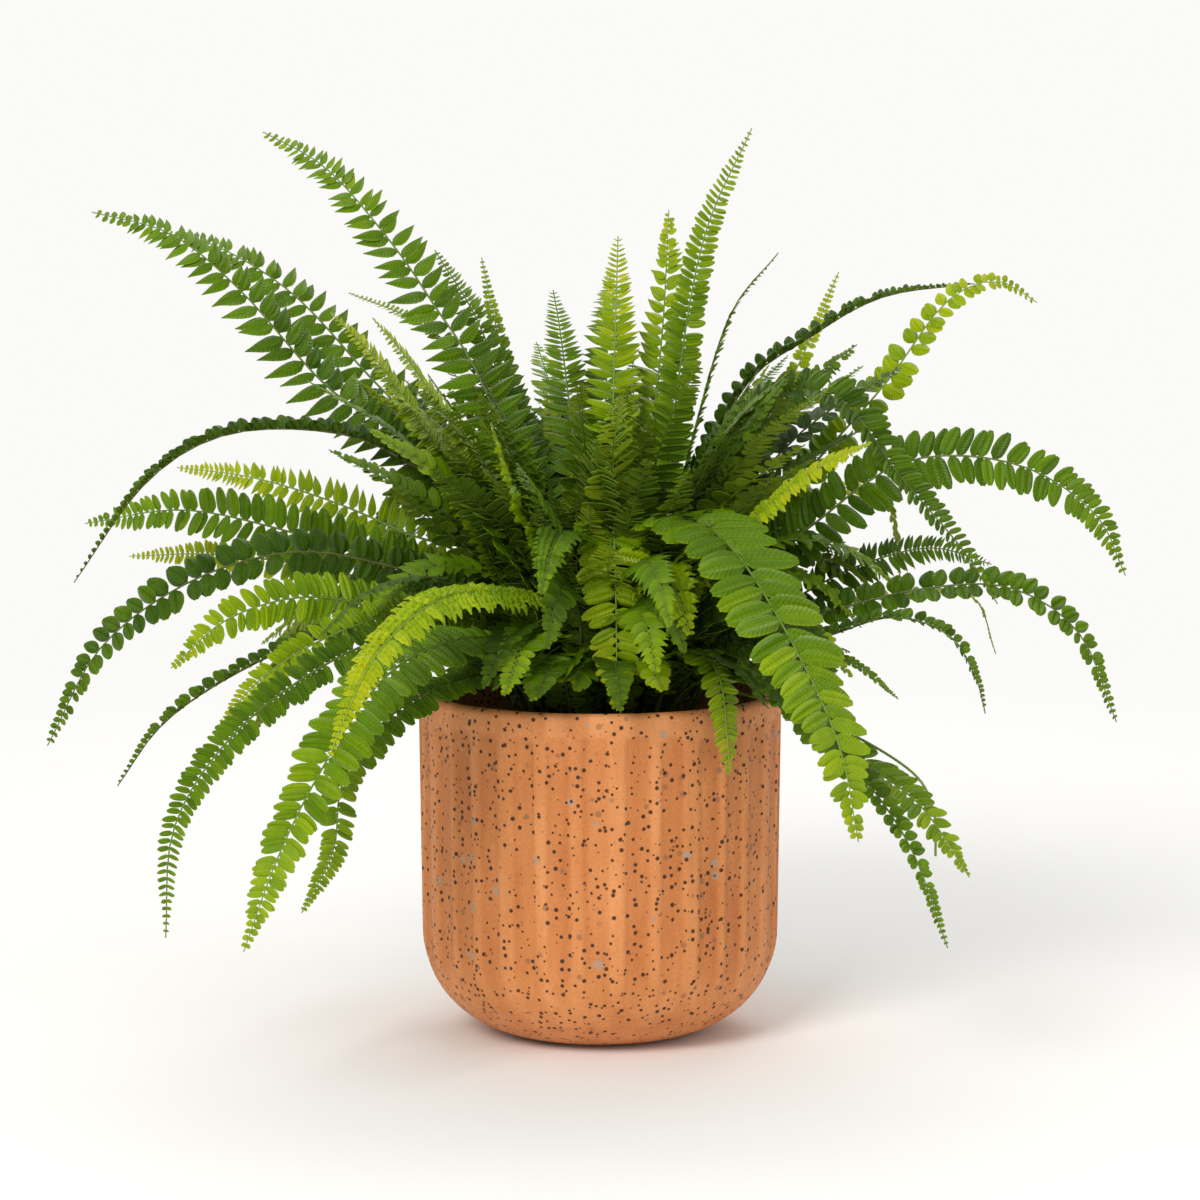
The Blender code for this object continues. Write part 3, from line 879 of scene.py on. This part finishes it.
def potFinish():
    made = Finish("speckledStoneware", Specular_IOR_Level=0.3)
    place = made.add("TexCoord", out=3)
    # how far into a flute each point lies, used below for painted shade in the flutes
    groove = made.attribute("groove")
    stretch = {"Vector": place, "Scale": (1.0, 1.0, potLook["streakStretch"])}
    streak = made.noise(made.add("Mapping", {}, stretch), potLook["streakScale"], 3.0)
    cloud = made.noise(place, potLook["cloudScale"], 4.0)
    grain = made.noise(place, potLook["grainScale"], 4.0, Roughness=0.7)
    # the clay's own streaks, clouds and grain, with painted shade deeper in the flutes
    toneAndGrooveShade = streak * 0.55 + cloud * 0.3 + groove * 0.16 + (grain - 0.5) * 0.55
    stops = [(0.22, potLook["pale"]), (0.5, potLook["clay"]), (0.82, potLook["deep"])]
    colour = made.add("ValToRGB", {"stops": stops}, {0: toneAndGrooveShade})
    pits, _ = spots(made, place, *potLook["pits"])
    smudges, _ = spots(made, place, *potLook["smudges"])
    stones, pick = spots(made, place, *potLook["stones"])
    colour = made.blend(smudges * 0.55, colour, potLook["smudge"])
    inStone = made.blend(made.band(grain, 0.62, 0.72), potLook["stone"], potLook["grit"])
    colour = made.blend(stones * made.band(pick, 0.45, 0.55) * 0.7, colour, inStone)
    colour = made.blend(pits * 0.92, colour, potLook["pit"])
    made.feed("Base Color", colour)
    made.feed("Roughness", made.band(grain, 0.3, 0.7, 0.52, 0.72))
    made.bump(grain * 0.22 - pits * 1.0 - stones * 0.3 + cloud * 0.4, 0.6, 0.0006)
    return made.material


body = makePot()
pressFlutes(body)
body.name = body.data.name = "fluted_pot"
body.data.materials.append(potFinish())
hand(body, "stoneware", "pot")
print("pot thrown and fluted")


mound = {"sides": 96, "depth": 4}
soilShape = {
    "radius": 83, "base": 145, "rise": 2.5, "rings": 30,
    "dark": (0.010, 0.006, 0.004), "light": (0.060, 0.034, 0.018), "scale": 420.0,
}
crownMound = {
    "radius": crownShape["radius"] - crownShape["trim"], "base": crownShape["foot"] - 1,
    "rise": crownShape["rise"] + crownShape["trim"], "rings": 26,
    "dark": (0.014, 0.009, 0.005), "light": (0.085, 0.050, 0.022), "scale": 620.0,
}
fibreColour = (0.16, 0.10, 0.05)


def earthFinish(name, shape):
    made = Finish(name, Roughness=0.95, Specular_IOR_Level=0.15)
    place = made.add("TexCoord", out=3)
    crumbs = made.add("TexVoronoi", {}, {"Vector": place, "Scale": shape["scale"]})
    fibre = made.noise(place, shape["scale"] * 2.2, 5.0)
    damp = made.band(crumbs * 0.7 + fibre * 0.5, 0.3, 0.8)
    colour = made.blend(damp, shape["dark"], shape["light"])
    strands = made.band(fibre, 0.6, 0.7) * 0.5
    made.feed("Base Color", made.blend(strands, colour, fibreColour))
    made.bump(crumbs + fibre * 0.6, 0.9, 0.0012)
    return made.material


def makeMound(name, shape):
    # a closed disc with a crowned top
    base, rise, rings = shape["base"], shape["rise"], shape["rings"]
    bpy.ops.mesh.primitive_circle_add(
        vertices=mound["sides"], radius=shape["radius"] * mm,
        location=(0, 0, (base - mound["depth"]) * mm))
    made = bpy.context.object
    bpy.ops.object.transform_apply(location=True, rotation=True, scale=True)
    bpy.ops.object.mode_set(mode="EDIT")
    extrudeUp(mound["depth"], 1, base)
    domes = [math.sqrt(1 - (1 - i / rings) ** 2) for i in range(rings)]
    for i in range(1, rings):
        extrudeUp(rise * (domes[i] - domes[i - 1]), (rings - i) / (rings - i + 1),
                  base + rise * domes[i])
    fillEnds(lambda co: co.z < (base - mound["depth"] + 0.1) * mm)
    bpy.ops.mesh.normals_make_consistent(inside=False)
    bpy.ops.object.mode_set(mode="OBJECT")
    smoothFaces(made)
    made.name = made.data.name = name
    return made


soil = makeMound("soil_surface", soilShape)
soil.data.materials.append(earthFinish("pottingSoil", soilShape))
hand(soil, "earth", "potting_soil")
crown = makeMound("scaly_crown", crownMound)
crown.data.materials.append(earthFinish("crownScales", crownMound))
hand(crown, "rhizome", "crown")
print("soil and crown laid")


runner = {
    "azimuth": 324, "ring": 36, "radius": 0.75, "tipRadius": 0.6, "age": 0.45, "stations": 60,
    "arch": [(48, 168), (75, 177), (112, 172), (150, 162), (185, 146), (196, 128), (197, 108)],
}
runnerLine, _ = archLine(
    runner["azimuth"], runner["ring"], runner["arch"], 0, runner["stations"])
wire = makeStalk(
    "wiry_runner", runnerLine, runner["age"], (runner["radius"], runner["tipRadius"]))
hand(wire, "wiry_stem", "runner")


studio = {
    "camera": (0, -2.2, 0.479), "down": 6.8, "lens": 133.5, "sensor": 36, "clip": 50,
    "floorSize": 14, "fadeFrom": 0.55, "fadeTo": 1.5,
    "paper": (0.93, 0.925, 0.91), "sky": 0.56, "skyColour": (1.0, 0.995, 0.98),
    "backdrop": (0.966, 0.959, 0.942),
    # place, size in metres, power in watts, colour
    "lamps": [
        ((-1.1, -2.3, 1.9), 1.2, 58, (1, 0.99, 0.97)),
        ((1.7, -1.7, 1.0), 1.6, 7, (1, 1, 1)),
        ((0.2, 1.5, 2.0), 1.8, 22, (1, 1, 1)),
    ],
    "aim": (0, 0, 0.22),
}


def layFloor():
    bpy.ops.mesh.primitive_plane_add(size=studio["floorSize"], location=(0, 0, 0))
    floor = bpy.context.object
    floor.name = "paperFloor"
    paper = Finish("paleFloor", Roughness=0.9, Specular_IOR_Level=0.1)
    paper.shader.inputs["Base Color"].default_value = (*studio["paper"], 1)
    # the paper thins out into the backdrop away from the pot
    place = paper.add("TexCoord", out=3)
    far = paper.add("VectorMath", {"operation": "LENGTH"}, {0: place}, 1)
    paper.feed("Alpha", paper.band(far, studio["fadeFrom"], studio["fadeTo"], 1.0, 0.0))
    floor.data.materials.append(paper.material)


def hangBackdrop():
    # the camera sees an even backdrop, and the light comes from a dimmer sky
    world = bpy.data.worlds.new("studioWorld")
    world.use_nodes = True
    tree = world.node_tree
    sky = tree.nodes["Background"]
    sky.inputs["Color"].default_value = (*studio["skyColour"], 1)
    sky.inputs["Strength"].default_value = studio["sky"]
    seen = tree.nodes.new("ShaderNodeBackground")
    seen.inputs["Color"].default_value = (*studio["backdrop"], 1)
    direct = tree.nodes.new("ShaderNodeLightPath")
    either = tree.nodes.new("ShaderNodeMixShader")
    tree.links.new(direct.outputs["Is Camera Ray"], either.inputs[0])
    tree.links.new(sky.outputs[0], either.inputs[1])
    tree.links.new(seen.outputs[0], either.inputs[2])
    tree.links.new(either.outputs[0], tree.nodes["World Output"].inputs["Surface"])
    bpy.context.scene.world = world


def addToScene(name, data, place):
    made = bpy.data.objects.new(name, data)
    made.location = place
    bpy.context.scene.collection.objects.link(made)
    return made


def makeStudio():
    layFloor()
    hangBackdrop()
    for i, (place, size, power, colour) in enumerate(studio["lamps"]):
        light = bpy.data.lights.new(f"softbox{i}", "AREA")
        light.size = size
        light.energy = power
        light.color = colour
        lamp = addToScene(f"softbox{i}", light, place)
        aim = Vector(studio["aim"]) - Vector(place)
        lamp.rotation_euler = aim.to_track_quat("-Z", "Y").to_euler()
    lens = bpy.data.cameras.new("camera")
    lens.lens = studio["lens"]
    lens.sensor_width = studio["sensor"]
    lens.clip_end = studio["clip"]
    camera = addToScene("camera", lens, studio["camera"])
    camera.rotation_euler = (math.radians(90 - studio["down"]), 0, 0)
    bpy.context.scene.camera = camera


makeStudio()
for leaflet in leafletKinds.values():
    bpy.data.objects.remove(leaflet, do_unlink=True)
